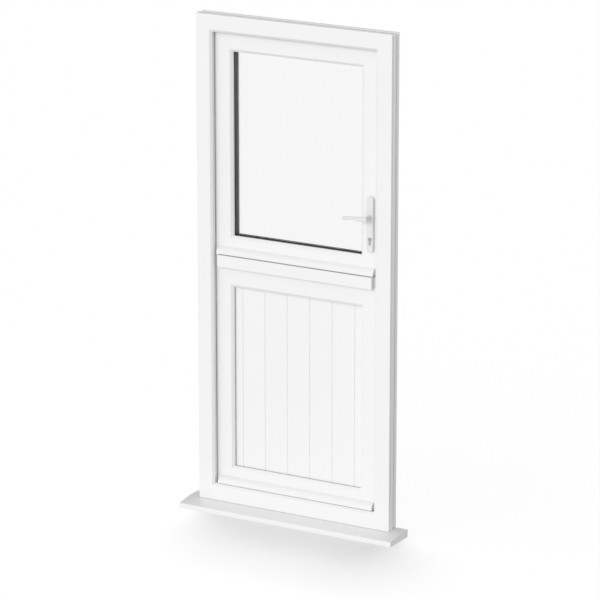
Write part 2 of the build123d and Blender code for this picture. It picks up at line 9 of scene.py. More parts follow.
import bmesh
import bpy
from bpy.props import FloatProperty, FloatVectorProperty, IntProperty, PointerProperty
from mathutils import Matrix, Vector

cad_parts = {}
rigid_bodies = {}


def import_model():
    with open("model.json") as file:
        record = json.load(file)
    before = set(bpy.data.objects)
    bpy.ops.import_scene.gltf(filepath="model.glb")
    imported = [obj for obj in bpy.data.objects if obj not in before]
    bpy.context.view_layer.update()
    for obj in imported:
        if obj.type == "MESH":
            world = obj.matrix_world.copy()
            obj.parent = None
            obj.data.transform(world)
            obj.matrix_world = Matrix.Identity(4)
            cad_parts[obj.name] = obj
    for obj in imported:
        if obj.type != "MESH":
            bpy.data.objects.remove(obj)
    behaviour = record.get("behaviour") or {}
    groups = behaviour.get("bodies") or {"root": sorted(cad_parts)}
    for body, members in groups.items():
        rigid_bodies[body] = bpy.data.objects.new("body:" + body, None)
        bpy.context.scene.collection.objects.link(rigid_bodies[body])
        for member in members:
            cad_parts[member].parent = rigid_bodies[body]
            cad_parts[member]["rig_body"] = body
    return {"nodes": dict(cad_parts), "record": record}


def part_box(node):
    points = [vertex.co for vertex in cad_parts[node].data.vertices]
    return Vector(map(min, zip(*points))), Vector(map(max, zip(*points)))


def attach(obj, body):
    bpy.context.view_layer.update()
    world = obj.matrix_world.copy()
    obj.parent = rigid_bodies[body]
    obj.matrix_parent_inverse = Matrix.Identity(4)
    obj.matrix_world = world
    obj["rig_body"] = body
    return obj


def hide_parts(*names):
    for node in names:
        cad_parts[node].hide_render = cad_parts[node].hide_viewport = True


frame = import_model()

bl_info = {
    "name": "Stable Door Dressing",
    "version": (1, 0, 0),
    "blender": (4, 5, 0),
    "location": "View3D > Sidebar > Stable Door",
    "description": "Finishes, seals, fixings and studio for a stable door in its frame",
    "category": "Object",
}

NODES = frame["nodes"]
NODE_SLOTS = {part["node"]: part["material_slot"] for part in frame["record"]["subparts"]}
JOINTS = {joint["name"]: joint for joint in frame["record"]["behaviour"]["joints"]}
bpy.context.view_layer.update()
LEAVES = ("upper", "lower")
INWARDS = Vector((0.0, 1.0, 0.0))
LOCKWARDS = Vector((1.0, 0.0, 0.0))
HINGEWARDS = Vector((-1.0, 0.0, 0.0))
UP = Vector((0.0, 0.0, 1.0))

# Sizes of the door's solids that their boxes don't give
EDGE_ROUND = 0.0025
FLANGE_GAP = 0.005
KNUCKLE_HEIGHT = 0.044
KNUCKLE_GAP = 0.0004
HINGE_PLATE = 0.005
HOOK_INSET = 0.075
HOOK_SLOT_DEPTH = 0.014

# Forms of the added pieces, where shares are of the piece's own width
SEALANT_SETBACK = 0.00025
WEDGE_LIP_SHARE = 0.6
WEDGE_ROOT_SHARE = 1.6
HOOK_ROUND_SHARE = 0.25
SCREW_SIDES = 20
SCREW_TOP_SHARE = 0.66
CAP_SIDES = 40
CAP_TOP_SHARE = 0.78
HALF_ROUND_STEPS = 10
ROUND_SEGMENTS = 3
ROUND_PROFILE = 0.5

# Merging and shading of meshes
MERGE_DISTANCE = 1e-6
FLAT_ANGLE = math.radians(1)
SMOOTH_ANGLE = math.radians(32)
STRIP_SMOOTH_ANGLE = math.radians(50)
FLAT_FACE_WEIGHT = 100

# Attribute of the points that screws and caps are set on, and numbers of sockets that share a name
FACING = "facing"
MIX_FIRST_COLOUR = 6
MIX_SECOND_COLOUR = 7
MIX_COLOUR = 2
RANDOM_HIGH = 3
RANDOM_NUMBER = 1

# Studio
SENSOR_WIDTH = 36.0
SIGHT_REACH = 100.0
LIGHT_DISTANCE = 6.0
FLOOR_REACH = 40.0
WHITE = (1.0, 1.0, 1.0, 1.0)


class DoorFinishes(bpy.types.PropertyGroup):
    """Colours and gloss of the door's materials."""

    plastic: FloatVectorProperty(
        name="Plastic", description="Colour of the frame, leaves, panel and cill",
        subtype="COLOR", size=3, min=0.0, max=1.0, default=(0.885, 0.885, 0.885),
    )
    plastic_gloss: FloatProperty(
        name="Plastic roughness", description="Mean roughness of the plastic",
        subtype="FACTOR", min=0.0, max=1.0, default=0.38,
    )
    powder_coat: FloatVectorProperty(
        name="Powder coat", description="Colour of the handles and hinges",
        subtype="COLOR", size=3, min=0.0, max=1.0, default=(0.79, 0.79, 0.795),
    )
    rubber: FloatVectorProperty(
        name="Rubber", description="Colour of gaskets and seals",
        subtype="COLOR", size=3, min=0.0, max=1.0, default=(0.02, 0.02, 0.021),
    )
    # Painted shade: the bead's dark grey partly stands in for the shade in the joint between the frame's
    # foot and the cill.
    sealant_and_joint_shade: FloatVectorProperty(
        name="Sealant", description="Colour of the bead between the frame and the cill",
        subtype="COLOR", size=3, min=0.0, max=1.0, default=(0.30, 0.30, 0.30),
    )
    spacer: FloatVectorProperty(
        name="Spacer", description="Colour of the bar between the panes",
        subtype="COLOR", size=3, min=0.0, max=1.0, default=(0.012, 0.012, 0.013),
    )
    glass: FloatVectorProperty(
        name="Glass", description="Tint of the light that one face of a pane lets through",
        subtype="COLOR", size=3, min=0.0, max=1.0, default=(0.983, 0.983, 0.983),
    )
    glass_shine: FloatProperty(
        name="Glass shine", description="Share of light that a pane reflects when seen square on",
        subtype="FACTOR", min=0.0, max=0.2, default=0.012,
    )
    steel: FloatVectorProperty(
        name="Lock steel", description="Colour of faceplates, keeps, hooks and screws",
        subtype="COLOR", size=3, min=0.0, max=1.0, default=(0.60, 0.61, 0.63),
    )
    nickel: FloatVectorProperty(
        name="Nickel", description="Colour of the lock cylinder",
        subtype="COLOR", size=3, min=0.0, max=1.0, default=(0.5, 0.5, 0.5),
    )


class DoorFixings(bpy.types.PropertyGroup):
    """Sizes of the seals, screws and hooks that the dressing adds."""

    screw_radius: FloatProperty(
        name="Screw head radius", description="Radius of a screw's head",
        unit="LENGTH", subtype="DISTANCE", min=0.001, default=0.0036,
    )
    screw_height: FloatProperty(
        name="Screw head height", description="Height of a screw's head over its seat",
        unit="LENGTH", subtype="DISTANCE", min=0.0002, default=0.0012,
    )
    cross_width: FloatProperty(
        name="Cross width", description="Width of an arm of the cross recess",
        unit="LENGTH", subtype="DISTANCE", min=0.0002, default=0.0009,
    )
    spin_seed: IntProperty(
        name="Spin seed", description="Seed of the turn at which each screw was left", min=0, default=7,
    )
    cap_height: FloatProperty(
        name="Knuckle cap height", description="Height of the caps on the hinge knuckles",
        unit="LENGTH", subtype="DISTANCE", min=0.0005, default=0.003,
    )
    seal_radius: FloatProperty(
        name="Flange seal radius", description="Radius of the hollow seal on a leaf's flange",
        unit="LENGTH", subtype="DISTANCE", min=0.0005, default=0.0032,
    )
    meeting_seal_radius: FloatProperty(
        name="Meeting seal radius", description="Radius of the seal on top of the lower leaf",
        unit="LENGTH", subtype="DISTANCE", min=0.0005, default=0.0022,
    )
    wedge: FloatProperty(
        name="Wedge gasket", description="Part of the inner gasket that shows past the bead",
        unit="LENGTH", subtype="DISTANCE", min=0.0005, default=0.0022,
    )
    hook_setback: FloatProperty(
        name="Hook setback", description="Nose of a hook below the face of its faceplate",
        unit="LENGTH", subtype="DISTANCE", min=0.0, default=0.0015,
    )
    hook_width: FloatProperty(
        name="Hook width", description="Thickness of a hook in its slot",
        unit="LENGTH", subtype="DISTANCE", min=0.001, default=0.007,
    )
    hook_length: FloatProperty(
        name="Hook length", description="Length of a hook along its slot",
        unit="LENGTH", subtype="DISTANCE", min=0.005, default=0.040,
    )
    rim_round: FloatProperty(
        name="Rim rounding", description="Rounding of the edges of handles and plates",
        unit="LENGTH", subtype="DISTANCE", min=0.0001, default=0.0009,
    )


class DoorStudio(bpy.types.PropertyGroup):
    """Camera, lights and floor."""

    azimuth: FloatProperty(
        name="Azimuth", description="Camera's turn towards the lock side",
        subtype="ANGLE", default=math.radians(29.287),
    )
    elevation: FloatProperty(
        name="Elevation", description="Camera's height over the horizon",
        subtype="ANGLE", default=math.radians(16.058),
    )
    distance: FloatProperty(
        name="Distance", description="Camera to the point that it looks at",
        unit="LENGTH", subtype="DISTANCE", min=1.0, default=14.7933,
    )
    target: FloatVectorProperty(
        name="Target", description="Point that the camera looks at",
        subtype="XYZ", unit="LENGTH", size=3, default=(0.034235, 0.0, 0.959099),
    )
    lens: FloatProperty(
        name="Lens", description="Focal length in millimetres, on a sensor 36 mm wide",
        unit="CAMERA", min=10.0, max=1000.0, default=218.35,
    )
    key_strength: FloatProperty(
        name="Key light", description="Strength of the light from the front, above",
        min=0.0, default=0.8,
    )
    key_direction: FloatVectorProperty(
        name="Key direction", description="Direction from the door towards the key light",
        subtype="DIRECTION", size=3, default=(-0.05, -0.93, 0.35),
    )
    key_softness: FloatProperty(
        name="Key softness", description="Angle that the key light fills, seen from the door",
        subtype="ANGLE", default=math.radians(20.0),
    )
    back_strength: FloatProperty(
        name="Back light", description="Strength of the light on the inside face",
        min=0.0, default=2.0,
    )
    back_direction: FloatVectorProperty(
        name="Back direction", description="Direction from the door towards the back light",
        subtype="DIRECTION", size=3, default=(0.35, 0.93, 0.05),
    )
    back_softness: FloatProperty(
        name="Back softness", description="Angle that the back light fills, seen from the door",
        subtype="ANGLE", default=math.radians(20.0),
    )
    floor_strength: FloatProperty(
        name="Floor light", description="Strength of the light from above on the floor",
        min=0.0, default=1.9,
    )
    floor_direction: FloatVectorProperty(
        name="Floor light direction", description="Direction from the floor towards its light",
        subtype="DIRECTION", size=3, default=(-0.125, 0.22, 1.0),
    )
    floor_softness: FloatProperty(
        name="Floor light softness", description="Angle that the floor's light fills",
        subtype="ANGLE", default=math.radians(18.0),
    )
    floor_colour: FloatVectorProperty(
        name="Floor colour", description="Colour of the pale floor",
        subtype="COLOR", size=3, min=0.0, max=1.0, default=(0.6, 0.6, 0.6),
    )
    floor_glow: FloatProperty(
        name="Floor glow", description="Light that the pale floor gives off by itself",
        min=0.0, default=0.32,
    )
    room_front: FloatProperty(
        name="Room in front", description="Brightness of the room on its bright side",
        min=0.0, default=1.1,
    )
    room_sides: FloatProperty(
        name="Room beside", description="Brightness of the room halfway between its two sides",
        min=0.0, default=0.3,
    )
    room_back: FloatProperty(
        name="Room behind", description="Brightness of the room on the side away from the bright one",
        min=0.0, default=0.5,
    )
    room_direction: FloatVectorProperty(
        name="Room direction", description="Direction from the door towards the room's bright side",
        subtype="DIRECTION", size=3, default=(-0.35, -0.92, 0.15),
    )


def finishes():
    """The finishes set on the scene."""
    return bpy.context.scene.stable_door_finishes


def fixings():
    """The sizes of fixings set on the scene."""
    return bpy.context.scene.stable_door_fixings


def studio():
    """The studio set on the scene."""
    return bpy.context.scene.stable_door_studio


def bare_finish(name):
    """A material with nothing but its output: the material, its tree and the output's surface."""
    finish = bpy.data.materials.new(name)
    finish.use_nodes = True
    tree = finish.node_tree
    tree.nodes.clear()
    output = tree.nodes.new("ShaderNodeOutputMaterial")
    return finish, tree, output.inputs["Surface"]


def new_finish(name):
    """A material with a bare principled shader: the material, its tree and the shader."""
    finish, tree, surface = bare_finish(name)
    shader = tree.nodes.new("ShaderNodeBsdfPrincipled")
    tree.links.new(shader.outputs["BSDF"], surface)
    return finish, tree, shader


def grain(tree, scale, stretch=(1.0, 1.0, 1.0), detail=3.0):
    """Noise on the piece's own coordinates, drawn out where stretch is small."""
    place = tree.nodes.new("ShaderNodeTexCoord")
    mapping = tree.nodes.new("ShaderNodeMapping")
    mapping.inputs["Scale"].default_value = stretch
    noise = tree.nodes.new("ShaderNodeTexNoise")
    noise.inputs["Scale"].default_value = scale
    noise.inputs["Detail"].default_value = detail
    tree.links.new(place.outputs["Object"], mapping.inputs["Vector"])
    tree.links.new(mapping.outputs["Vector"], noise.inputs["Vector"])
    return noise.outputs["Fac"]


def drift_colour(tree, shader, pattern, colour, spread):
    """Let the base colour drift by a share of itself along a pattern."""
    darker = [part * (1.0 - spread) for part in colour]
    lighter = [min(1.0, part * (1.0 + spread)) for part in colour]
    mix = tree.nodes.new("ShaderNodeMix")
    mix.data_type = "RGBA"
    mix.inputs[MIX_FIRST_COLOUR].default_value = (*darker, 1.0)
    mix.inputs[MIX_SECOND_COLOUR].default_value = (*lighter, 1.0)
    tree.links.new(pattern, mix.inputs[0])
    tree.links.new(mix.outputs[MIX_COLOUR], shader.inputs["Base Color"])


def drift_roughness(tree, shader, pattern, low, high):
    """Let the roughness run from low to high along a pattern."""
    spread = tree.nodes.new("ShaderNodeMapRange")
    spread.inputs["To Min"].default_value = low
    spread.inputs["To Max"].default_value = high
    tree.links.new(pattern, spread.inputs["Value"])
    tree.links.new(spread.outputs["Result"], shader.inputs["Roughness"])


def raise_bump(tree, shader, pattern, strength, height):
    """Raise the surface along a pattern."""
    bump = tree.nodes.new("ShaderNodeBump")
    bump.inputs["Strength"].default_value = strength
    bump.inputs["Distance"].default_value = height
    tree.links.new(pattern, bump.inputs["Height"])
    tree.links.new(bump.outputs["Normal"], shader.inputs["Normal"])


def extruded_plastic(name, along):
    """Glossy white plastic with faint drawing lines along the length of an extrusion."""
    drawn_out = 0.012
    gloss_drift = 0.06
    gloss = finishes().plastic_gloss
    finish, tree, shader = new_finish(name)
    streaks = grain(tree, scale=220.0, stretch=[drawn_out if axis == along else 1.0 for axis in "xyz"])
    clouds = grain(tree, scale=2.5)
    drift_colour(tree, shader, clouds, finishes().plastic, spread=0.012)
    drift_roughness(tree, shader, streaks, low=gloss - gloss_drift, high=gloss + gloss_drift)
    raise_bump(tree, shader, streaks, strength=0.12, height=0.0002)
    shader.inputs["Specular IOR Level"].default_value = 0.45
    shader.inputs["IOR"].default_value = 1.52
    return finish


def coated_metal():
    """White powder coat with a fine orange peel."""
    finish, tree, shader = new_finish("white_powder_coat")
    peel = grain(tree, scale=520.0, detail=1.0)
    drift_colour(tree, shader, grain(tree, scale=12.0), finishes().powder_coat, spread=0.01)
    drift_roughness(tree, shader, peel, low=0.26, high=0.38)
    raise_bump(tree, shader, peel, strength=0.15, height=0.0002)
    return finish


def black_rubber():
    """Matt black rubber with a fine tooth."""
    finish, tree, shader = new_finish("black_rubber")
    tooth = grain(tree, scale=900.0, detail=2.0)
    drift_colour(tree, shader, grain(tree, scale=25.0), finishes().rubber, spread=0.25)
    drift_roughness(tree, shader, tooth, low=0.55, high=0.75)
    raise_bump(tree, shader, tooth, strength=0.2, height=0.0003)
    return finish


def grey_sealant():
    """Dull grey sealing bead with a tooled, slightly uneven face; its dark grey is partly painted shade,
    standing in for the shade in the joint between frame and cill.
    """
    finish, tree, shader = new_finish("grey_sealant")
    tooling = grain(tree, scale=120.0, stretch=(0.2, 1.0, 1.0))
    # Painted shade: the base colour's dark grey partly stands in for the shade in the joint.
    drift_colour(tree, shader, tooling, finishes().sealant_and_joint_shade, spread=0.1)
    drift_roughness(tree, shader, tooling, low=0.5, high=0.7)
    return finish


def black_spacer():
    """Satin black bar with a fine grain."""
    finish, tree, shader = new_finish("black_spacer")
    tooth = grain(tree, scale=700.0, detail=2.0)
    drift_colour(tree, shader, tooth, finishes().spacer, spread=0.2)
    drift_roughness(tree, shader, tooth, low=0.5, high=0.65)
    return finish


def clear_glass():
    """Clear float glass: it lets light straight through, and shines more at a flat angle."""
    shine_power = 5.0
    finish, tree, surface = bare_finish("clear_glass")
    through = tree.nodes.new("ShaderNodeBsdfTransparent")
    through.inputs["Color"].default_value = (*finishes().glass, 1.0)
    mirror = tree.nodes.new("ShaderNodeBsdfGlossy")
    mirror.inputs["Roughness"].default_value = 0.02
    facing = tree.nodes.new("ShaderNodeLayerWeight")
    facing.inputs["Blend"].default_value = 0.5
    steep = tree.nodes.new("ShaderNodeMath")
    steep.operation = "POWER"
    steep.inputs[1].default_value = shine_power
    shine = tree.nodes.new("ShaderNodeMapRange")
    shine.inputs["To Min"].default_value = finishes().glass_shine
    mix = tree.nodes.new("ShaderNodeMixShader")
    tree.links.new(facing.outputs["Facing"], steep.inputs[0])
    tree.links.new(steep.outputs["Value"], shine.inputs["Value"])
    tree.links.new(shine.outputs["Result"], mix.inputs["Fac"])
    tree.links.new(through.outputs["BSDF"], mix.inputs[1])
    tree.links.new(mirror.outputs["BSDF"], mix.inputs[2])
    tree.links.new(mix.outputs["Shader"], surface)
    return finish


def brushed_metal(name, colour, smoothest, roughest):
    """Plated metal, brushed along Z, whose roughness runs between two values."""
    finish, tree, shader = new_finish(name)
    brush = grain(tree, scale=900.0, stretch=(1.0, 1.0, 0.02))
    drift_colour(tree, shader, grain(tree, scale=40.0), colour, spread=0.06)
    drift_roughness(tree, shader, brush, low=smoothest, high=roughest)
    raise_bump(tree, shader, brush, strength=0.1, height=0.0001)
    shader.inputs["Metallic"].default_value = 1.0
    return finish


def satin_nickel():
    """Nickel plate of the lock cylinder."""
    return brushed_metal("satin_nickel", finishes().nickel, smoothest=0.28, roughest=0.46)


def plated_steel():
    """Plated steel of the lock's plates, hooks and screws."""
    return brushed_metal("lock_steel", finishes().steel, smoothest=0.24, roughest=0.42)


def finish_named(name, make):
    """The material of that name, made on first use."""
    return bpy.data.materials.get(name) or make()


def lock_steel():
    """The one steel that the lock's plates, hooks and screws share."""
    return finish_named("lock_steel", plated_steel)


def powder_coat():
    """The one powder coat that the handles and hinges share."""
    return finish_named("white_powder_coat", coated_metal)


def rubber():
    """The one rubber that the gaskets and seals share."""
    return finish_named("black_rubber", black_rubber)


def paint(node, finish):
    """Give a node of the door its finish."""
    for slot in NODES[node].material_slots:
        slot.material = finish


def add_piece(name, mesh, finish, body):
    """A finished piece that moves with one body of the door."""
    piece = bpy.data.objects.new(name, mesh)
    bpy.context.scene.collection.objects.link(piece)
    mesh.materials.clear()
    mesh.materials.append(finish)
    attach(piece, body)
    return piece


def round_edges(shape, width):
    """Round the sharp edges between faces."""
    sharp = [edge for edge in shape.edges if edge.calc_face_angle(0.0) > SMOOTH_ANGLE]
    bmesh.ops.bevel(
        shape, geom=sharp, offset=width, segments=ROUND_SEGMENTS, profile=ROUND_PROFILE,
        affect="EDGES", clamp_overlap=True,
    )


def smooth_mesh(name, shape, sharp_angle):
    """The shape as a mesh with smooth shading, and with sharp edges past an angle."""
    mesh = bpy.data.meshes.new(name)
    shape.to_mesh(mesh)
    shape.free()
    mesh.shade_smooth()
    mesh.set_sharp_from_angle(angle=sharp_angle)
    return mesh


def smooth_stand_in(node, finish, rounding=0.0):
    """A copy of a node with joined triangles and smooth round faces, which is shown in its place."""
    source = NODES[node]
    shape = bmesh.new()
    shape.from_mesh(source.data)
    bmesh.ops.remove_doubles(shape, verts=shape.verts, dist=MERGE_DISTANCE)
    bmesh.ops.recalc_face_normals(shape, faces=shape.faces)
    bmesh.ops.dissolve_limit(shape, angle_limit=FLAT_ANGLE, verts=shape.verts, edges=shape.edges)
    if rounding:
        round_edges(shape, rounding)
    mesh = smooth_mesh(f"{node}_smooth", shape, SMOOTH_ANGLE)
    piece = add_piece(f"{node}_smooth", mesh, finish, source["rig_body"])
    shading = piece.modifiers.new("even_flat_faces", "WEIGHTED_NORMAL")
    shading.keep_sharp = True
    shading.weight = FLAT_FACE_WEIGHT
    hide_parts(node)


def block_mesh(name, blocks, rounding):
    """Blocks between their low and high corners, with rounded edges, as one mesh."""
    shape = bmesh.new()
    for low, high in blocks:
        size = high - low
        for vertex in bmesh.ops.create_cube(shape, size=1.0)["verts"]:
            vertex.co = (low + high) / 2 + vertex.co * size
    round_edges(shape, rounding)
    return smooth_mesh(name, shape, SMOOTH_ANGLE)


def strip_mesh(name, path, section, closed):
    """A strip of even section along a path of corners, mitred at each corner.

    A path corner is its place and the direction in which the section's first number is laid off.
    The section's second number is laid off along Y.
    """
    shape = bmesh.new()
    rows = []
    for corner, across in path:
        rows.append([shape.verts.new(corner + across * side + INWARDS * depth) for side, depth in section])
    count = len(rows)
    for index in range(count if closed else count - 1):
        row, following = rows[index], rows[(index + 1) % count]
        for point in range(len(section)):
            beside = (point + 1) % len(section)
            shape.faces.new((row[point], row[beside], following[beside], following[point]))
    if not closed:
        shape.faces.new(rows[0])
        shape.faces.new(rows[-1])
    bmesh.ops.recalc_face_normals(shape, faces=shape.faces)
    return smooth_mesh(name, shape, STRIP_SMOOTH_ANGLE)


def round_section(radius, inset, foot, rise):
    """A half-round section: inset is its middle, foot its flat base and rise its direction along Y."""
    angles = [math.pi * step / HALF_ROUND_STEPS for step in range(HALF_ROUND_STEPS + 1)]
    return [(inset + radius * math.cos(a), foot + rise * radius * math.sin(a)) for a in angles]


def rectangle_path(low, high):
    """The four corners of a rectangle in X and Z, each with its diagonal direction inwards."""
    corners = ((low.x, low.z), (high.x, low.z), (high.x, high.z), (low.x, high.z))
    middle_x, middle_z = (low.x + high.x) / 2, (low.z + high.z) / 2
    path = []
    for x, z in corners:
        inwards = Vector((math.copysign(1, middle_x - x), 0.0, math.copysign(1, middle_z - z)))
        path.append((Vector((x, 0.0, z)), inwards))
    return path


def points_tree(name, inputs):
    """A node tree for points with named inputs and no steps yet: the tree and its input node."""
    tree = bpy.data.node_groups.new(name, "GeometryNodeTree")
    new_socket = tree.interface.new_socket
    new_socket("Geometry", in_out="INPUT", socket_type="NodeSocketGeometry")
    for label, kind in inputs:
        new_socket(label, in_out="INPUT", socket_type=kind)
    new_socket("Finish", in_out="INPUT", socket_type="NodeSocketMaterial")
    new_socket("Geometry", in_out="OUTPUT", socket_type="NodeSocketGeometry")
    return tree, tree.nodes.new("NodeGroupInput")


def tapered_disc(tree, radius, height, sides, top_share):
    """A disc that narrows to a share of its radius at the top."""
    link = tree.links.new
    disc = tree.nodes.new("GeometryNodeMeshCone")
    disc.inputs["Vertices"].default_value = sides
    narrow = tree.nodes.new("ShaderNodeMath")
    narrow.operation = "MULTIPLY"
    narrow.inputs[1].default_value = top_share
    link(radius, narrow.inputs[0])
    link(narrow.outputs["Value"], disc.inputs["Radius Top"])
    link(radius, disc.inputs["Radius Bottom"])
    link(height, disc.inputs["Depth"])
    return disc.outputs["Mesh"]


def cut_cross(tree, head, radius, height, width):
    """A screw's head with a cross recess cut into its top."""
    nodes = tree.nodes
    link = tree.links.new
    lift = nodes.new("ShaderNodeCombineXYZ")
    link(height, lift.inputs["Z"])
    cut = nodes.new("GeometryNodeMeshBoolean")
    cut.operation = "DIFFERENCE"
    link(head, cut.inputs["Mesh 1"])
    for long_side, short_side in (("X", "Y"), ("Y", "X")):
        size = nodes.new("ShaderNodeCombineXYZ")
        link(radius, size.inputs[long_side])
        link(width, size.inputs[short_side])
        link(height, size.inputs["Z"])
        arm = nodes.new("GeometryNodeMeshCube")
        link(size.outputs["Vector"], arm.inputs["Size"])
        place = nodes.new("GeometryNodeTransform")
        link(arm.outputs["Mesh"], place.inputs["Geometry"])
        link(lift.outputs["Vector"], place.inputs["Translation"])
        link(place.outputs["Geometry"], cut.inputs["Mesh 2"])
    return cut.outputs["Mesh"]


def turn_to_facing(tree):
    """The turn that points Z along the facing of each point."""
    facing = tree.nodes.new("GeometryNodeInputNamedAttribute")
    facing.data_type = "FLOAT_VECTOR"
    facing.inputs["Name"].default_value = FACING
    aim = tree.nodes.new("FunctionNodeAlignRotationToVector")
    aim.axis = "Z"
    tree.links.new(facing.outputs["Attribute"], aim.inputs["Vector"])
    return aim.outputs["Rotation"]


def spin_at_random(tree, turn, seed):
    """The turn, with up to half a revolution about its own Z that differs from point to point."""
    nodes = tree.nodes
    link = tree.links.new
    angle = nodes.new("FunctionNodeRandomValue")
    angle.data_type = "FLOAT"
    angle.inputs[RANDOM_HIGH].default_value = math.pi
    link(seed, angle.inputs["Seed"])
    spin = nodes.new("FunctionNodeAxisAngleToRotation")
    spin.inputs["Axis"].default_value = UP
    link(angle.outputs[RANDOM_NUMBER], spin.inputs["Angle"])
    both = nodes.new("FunctionNodeRotateRotation")
    both.rotation_space = "LOCAL"
    link(turn, both.inputs["Rotation"])
    link(spin.outputs["Rotation"], both.inputs["Rotate By"])
    return both.outputs["Rotation"]


def set_and_coat(tree, given, shape, turn):
    """End a tree: the shape on each point at its turn, made plain geometry with the finish on it."""
    nodes = tree.nodes
    link = tree.links.new
    spread = nodes.new("GeometryNodeInstanceOnPoints")
    link(given.outputs["Geometry"], spread.inputs["Points"])
    link(shape, spread.inputs["Instance"])
    link(turn, spread.inputs["Rotation"])
    realize = nodes.new("GeometryNodeRealizeInstances")
    link(spread.outputs["Instances"], realize.inputs["Geometry"])
    coat = nodes.new("GeometryNodeSetMaterial")
    link(realize.outputs["Geometry"], coat.inputs["Geometry"])
    link(given.outputs["Finish"], coat.inputs["Material"])
    result = nodes.new("NodeGroupOutput")
    link(coat.outputs["Geometry"], result.inputs["Geometry"])


def screw_tree():
    """Node tree that sets a screw head with a cross recess on each point, turned to its facing."""
    tree, given = points_tree("screw_heads", (
        ("Head Radius", "NodeSocketFloat"),
        ("Head Height", "NodeSocketFloat"),
        ("Cross Width", "NodeSocketFloat"),
        ("Spin Seed", "NodeSocketInt"),
    ))
    radius, height = given.outputs["Head Radius"], given.outputs["Head Height"]
    head = tapered_disc(tree, radius, height, SCREW_SIDES, SCREW_TOP_SHARE)
    crossed = cut_cross(tree, head, radius, height, given.outputs["Cross Width"])
    turn = spin_at_random(tree, turn_to_facing(tree), given.outputs["Spin Seed"])
    set_and_coat(tree, given, crossed, turn)
    return tree


def cap_tree():
    """Node tree that sets a chamfered cap on each point, turned to its facing."""
    tree, given = points_tree("knuckle_caps", (
        ("Cap Radius", "NodeSocketFloat"),
        ("Cap Height", "NodeSocketFloat"),
    ))
    radius, height = given.outputs["Cap Radius"], given.outputs["Cap Height"]
    cap = tapered_disc(tree, radius, height, CAP_SIDES, CAP_TOP_SHARE)
    set_and_coat(tree, given, cap, turn_to_facing(tree))
    return tree


def set_on_points(name, places, tree, values, body):
    """Run a node tree on places with facings, and keep the result as one plain piece on a body."""
    points = bpy.data.meshes.new(f"{name}_points")
    points.from_pydata([place for place, _ in places], [], [])
    attribute = points.attributes.new(FACING, "FLOAT_VECTOR", "POINT")
    for value, (_, facing) in zip(attribute.data, places):
        value.vector = facing
    piece = bpy.data.objects.new(name, points)
    bpy.context.scene.collection.objects.link(piece)
    modifier = piece.modifiers.new("set_on_points", "NODES")
    modifier.node_group = tree
    for item in tree.interface.items_tree:
        if item.in_out == "INPUT" and item.name in values:
            modifier[item.identifier] = values[item.name]
    graph = bpy.context.evaluated_depsgraph_get()
    mesh = bpy.data.meshes.new_from_object(piece.evaluated_get(graph))
    piece.modifiers.remove(modifier)
    piece.data = mesh
    bpy.data.meshes.remove(points)
    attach(piece, body)


def hinge_feet(leaf):
    """Heights of the feet of a leaf's two hinge flags."""
    low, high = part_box(f"{leaf}_hinge_flags")
    return low.z, high.z - KNUCKLE_HEIGHT


def hook_heights(leaf):
    """Heights of the middles of a leaf's two hooks."""
    low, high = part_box(f"{leaf}_lock_faceplate")
    return low.z + HOOK_INSET, high.z - HOOK_INSET


class STABLE_DOOR_OT_plastic(bpy.types.Operator):
    """Finish the plastic lengths of the frame, the leaves and the cill, with the grain along each length"""

    bl_idname = "stable_door.plastic"
    bl_label = "Plastic lengths"

    def execute(self, context):
        upright = extruded_plastic("white_plastic_upright", "z")
        level = extruded_plastic("white_plastic_level", "x")
        for node, slot in NODE_SLOTS.items():
            if slot == "white_plastic":
                low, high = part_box(node)
                paint(node, upright if high.z - low.z > high.x - low.x else level)
        return {"FINISHED"}


class STABLE_DOOR_OT_glazing(bpy.types.Operator):
    """Finish the panes, the spacer and the outer gaskets, and add the wedge gaskets inside"""

    bl_idname = "stable_door.glazing"
    bl_label = "Glazing"

    def execute(self, context):
        glass = clear_glass()
        for node in ("glass_outer_pane", "glass_inner_pane"):
            paint(node, glass)
        paint("glass_spacer", black_spacer())
        show = fixings().wedge
        for leaf in LEAVES:
            paint(f"{leaf}_infill_gasket", rubber())
            low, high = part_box(f"{leaf}_infill_gasket")
            bead_low, bead_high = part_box(f"{leaf}_bead_hinge")
            inset = abs(low.x) - abs(bead_high.x)
            back = bead_low.y
            section = (
                (inset, back),
                (inset + show, back),
                (inset + show * WEDGE_LIP_SHARE, back + show),
                (inset, back + show * WEDGE_ROOT_SHARE),
            )
            mesh = strip_mesh(f"{leaf}_wedge_gasket", rectangle_path(low, high), section, True)
            add_piece(f"{leaf}_wedge_gasket", mesh, rubber(), f"{leaf}_leaf")
        return {"FINISHED"}


